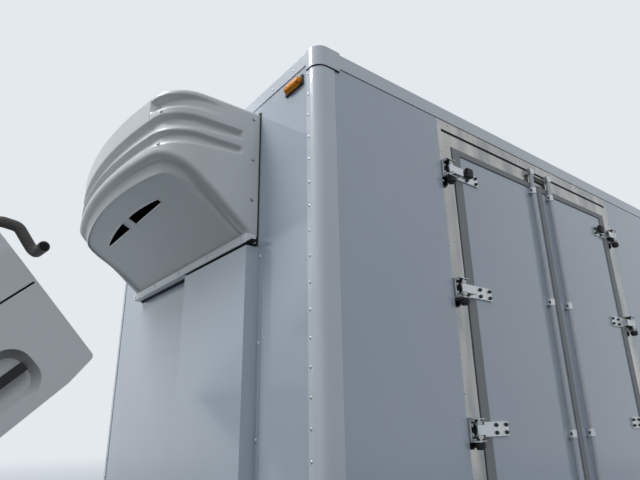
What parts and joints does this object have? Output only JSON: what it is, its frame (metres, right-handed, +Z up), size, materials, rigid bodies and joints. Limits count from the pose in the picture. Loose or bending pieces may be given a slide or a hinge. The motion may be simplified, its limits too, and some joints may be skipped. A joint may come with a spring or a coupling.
{
  "type": "refrigerated box truck with tilting cab",
  "caption": "Light refrigerated truck: cab tilted forward on its stay, insulated box with side and rear doors, front wall cooling unit.",
  "frame": {"origin": "middle of the parked truck's outer box at ground level, cab tilted", "axes": "+Z up, -Y to the truck's front, +X to the truck's left"},
  "size_m": [2.25, 6.637, 2.9366],
  "materials": {
    "white_panel": "gloss white",
    "stainless": "brushed",
    "white_moulding": "gloss",
    "cab_paint": "gloss white",
    "frame_paint": "satin black",
    "black_plastic": "matte",
    "rubber_seal": "matte",
    "amber_lens": "gloss",
    "red_lens": "gloss",
    "clear_lens": "gloss",
    "window_glass": "clear",
    "wheel_steel": "silver paint",
    "tyre_rubber": "matte",
    "seat_fabric": "woven",
    "aluminium_trim": "satin"
  },
  "bodies": {
    "chassis": {"battery_box": "black_plastic", "box_floor": "white_panel", "box_front_wall": "white_panel", "box_left_wall": "white_panel", "box_right_wall": "white_panel", "box_roof": "white_panel", "chassis_frame": "frame_paint", "corner_posts": "white_panel", "driveline": "frame_paint", "engine_block": "frame_paint", "evaporator": "white_moulding", "front_axle": "frame_paint", "front_bumper": "cab_paint", "fuel_tank": "frame_paint", "marker_lamps": "amber_lens", "mudguards": "black_plastic", "pipe_cover": "white_panel", "rear_axle": "frame_paint", "rear_door_frame": "stainless", "rear_underrun": "frame_paint", "refrigeration_unit": "white_moulding", "roof_rails": "aluminium_trim", "side_door_frame": "stainless", "side_guards": "aluminium_trim", "tail_lamps": "red_lens", "unit_gasket": "rubber_seal"},
    "cab": {"cab_shell": "cab_paint", "cab_glass": "window_glass", "cab_grips": "black_plastic", "cab_seats": "seat_fabric", "cab_dash": "black_plastic", "cab_mirrors": "black_plastic", "cab_grille": "black_plastic", "headlamps": "clear_lens", "cab_rear_tube": "black_plastic"},
    "cab_stay": {"cab_stay": "frame_paint"},
    "cab_door_left_body": {"cab_door_left": "cab_paint", "cab_door_glass_left": "window_glass"},
    "cab_door_right_body": {"cab_door_right": "cab_paint", "cab_door_glass_right": "window_glass"},
    "side_door_front": {"side_door_front_leaf": "white_panel", "side_door_front_hardware": "stainless"},
    "side_door_rear": {"side_door_rear_leaf": "white_panel", "side_door_rear_hardware": "stainless"},
    "rear_door_left": {"rear_door_left_leaf": "white_panel", "rear_door_left_hardware": "stainless"},
    "rear_door_right": {"rear_door_right_leaf": "white_panel", "rear_door_right_hardware": "stainless"},
    "steering_left": {"knuckle_left": "frame_paint"},
    "wheel_front_left": {"rim_front_left": "wheel_steel", "tyre_front_left": "tyre_rubber"},
    "wheel_rear_left": {"rim_rear_left": "wheel_steel", "tyre_rear_left": "tyre_rubber"},
    "steering_right": {"knuckle_right": "frame_paint"},
    "wheel_front_right": {"rim_front_right": "wheel_steel", "tyre_front_right": "tyre_rubber"},
    "wheel_rear_right": {"rim_rear_right": "wheel_steel", "tyre_rear_right": "tyre_rubber"}
  },
  "joints": [
    {"name": "cab_tilt", "type": "hinge", "parent": "chassis", "child": "cab", "pos_m": [0, -2.39653, 0.68], "axis": [-1, 0, 0], "range_deg": [0, 44]},
    {"name": "cab_stay_fold", "type": "hinge", "parent": "chassis", "child": "cab_stay", "pos_m": [0.471, -2.06653, 0.72], "axis": [-1, 0, 0], "range_deg": [0, 72.3]},
    {"name": "cab_door_left_hinge", "type": "hinge", "parent": "cab", "child": "cab_door_left_body", "pos_m": [0.94, -2.7894, 1.02349], "axis": [0, 0.6947, -0.7193], "range_deg": [0, 65]},
    {"name": "cab_door_right_hinge", "type": "hinge", "parent": "cab", "child": "cab_door_right_body", "pos_m": [-0.94, -2.7894, 1.02349], "axis": [0, -0.6947, 0.7193], "range_deg": [0, 65]},
    {"name": "side_door_front_hinge", "type": "hinge", "parent": "chassis", "child": "side_door_front", "pos_m": [1.075, -0.32353, 1.8], "axis": [0, 0, -1], "range_deg": [0, 170]},
    {"name": "side_door_rear_hinge", "type": "hinge", "parent": "chassis", "child": "side_door_rear", "pos_m": [1.075, 1.21047, 1.8], "axis": [0, 0, 1], "range_deg": [0, 170]},
    {"name": "rear_door_left_hinge", "type": "hinge", "parent": "chassis", "child": "rear_door_left", "pos_m": [1.075, 3.29847, 1.8], "axis": [0, 0, -1], "range_deg": [0, 255]},
    {"name": "rear_door_right_hinge", "type": "hinge", "parent": "chassis", "child": "rear_door_right", "pos_m": [-1.075, 3.29847, 1.8], "axis": [0, 0, 1], "range_deg": [0, 255]},
    {"name": "steer_left", "type": "hinge", "parent": "chassis", "child": "steering_left", "pos_m": [0.7, -1.66653, 0.385], "axis": [0, 0, 1], "range_deg": [-35, 35]},
    {"name": "roll_front_left", "type": "hinge", "parent": "steering_left", "child": "wheel_front_left", "pos_m": [0.83, -1.66653, 0.385], "axis": [1, 0, 0], "continuous": true},
    {"name": "roll_rear_left", "type": "hinge", "parent": "chassis", "child": "wheel_rear_left", "pos_m": [0.668, 1.73347, 0.385], "axis": [1, 0, 0], "continuous": true},
    {"name": "steer_right", "type": "hinge", "parent": "chassis", "child": "steering_right", "pos_m": [-0.7, -1.66653, 0.385], "axis": [0, 0, 1], "range_deg": [-35, 35]},
    {"name": "roll_front_right", "type": "hinge", "parent": "steering_right", "child": "wheel_front_right", "pos_m": [-0.83, -1.66653, 0.385], "axis": [1, 0, 0], "continuous": true},
    {"name": "roll_rear_right", "type": "hinge", "parent": "chassis", "child": "wheel_rear_right", "pos_m": [-0.668, 1.73347, 0.385], "axis": [1, 0, 0], "continuous": true}
  ],
  "couplings": [
    {"joint": "cab_stay_fold", "follows": "cab_tilt", "ratio": 1.6432},
    {"joint": "steer_right", "follows": "steer_left", "ratio": 1}
  ]
}
